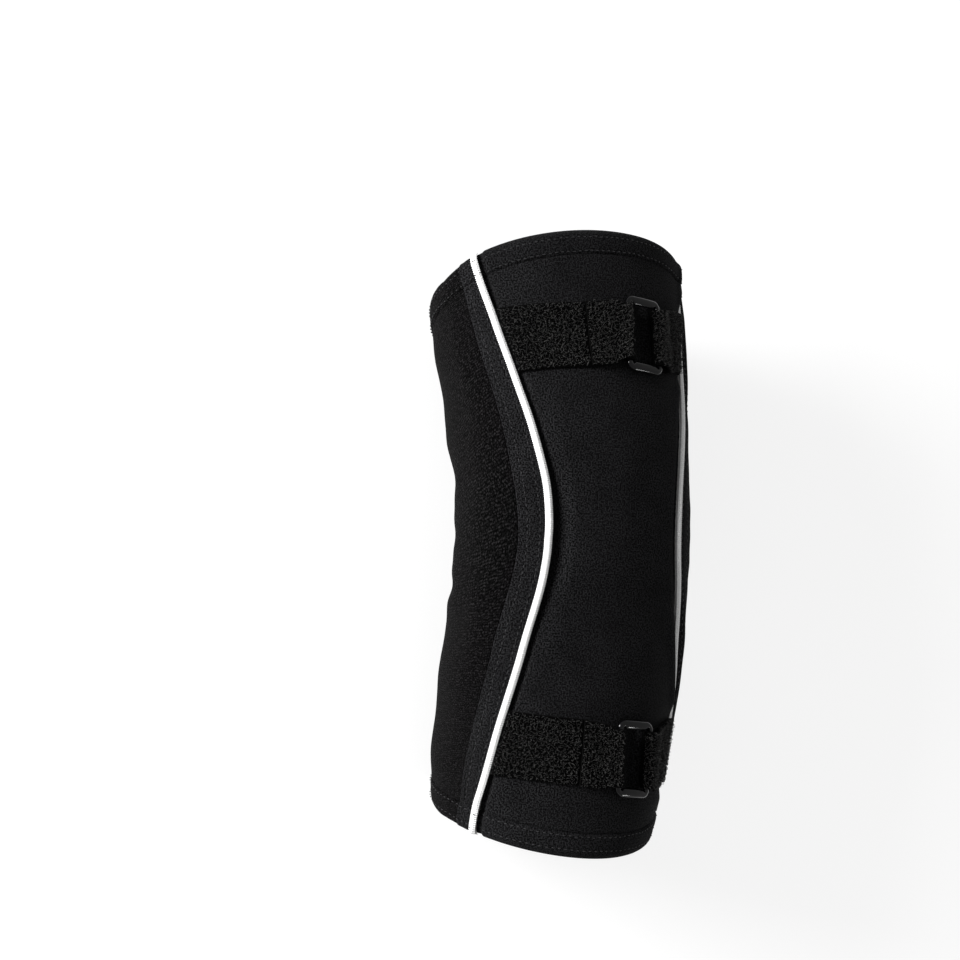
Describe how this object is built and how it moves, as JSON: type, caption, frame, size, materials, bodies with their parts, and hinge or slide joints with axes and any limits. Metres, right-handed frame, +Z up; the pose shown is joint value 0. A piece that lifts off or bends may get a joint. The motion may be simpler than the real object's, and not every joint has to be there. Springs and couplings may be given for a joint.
{
  "type": "elbow brace",
  "caption": "Bent padded elbow sleeve, open at both ends, with white seam piping and two pile straps that fold back through strap rings.",
  "frame": {"origin": "on the floor, midway between the two rims and the two sides", "axes": "+Y along the sleeve towards the upper-arm rim, +Z up from the crook of the elbow to the elbow side, +X to the side of the ring loops"},
  "size_m": [0.115, 0.2584, 0.0871],
  "materials": {
    "smooth_knit": "matt smooth jersey face over foam",
    "ribbed_knit": "matt ribbed terry-like knit over foam",
    "white_ribbon": "matt woven ribbon",
    "pile_strap": "matt looped pile",
    "black_ring": "glossy black"
  },
  "bodies": {
    "root": {"front_panel": "smooth_knit", "left_side_band": "smooth_knit", "right_side_band": "smooth_knit", "crook_panel": "ribbed_knit", "left_piping": "white_ribbon", "right_piping": "white_ribbon", "upper_strap": "pile_strap", "upper_ring": "black_ring", "upper_ring_loop": "pile_strap", "lower_strap": "pile_strap", "lower_ring": "black_ring", "lower_ring_loop": "pile_strap"}
  },
  "joints": []
}
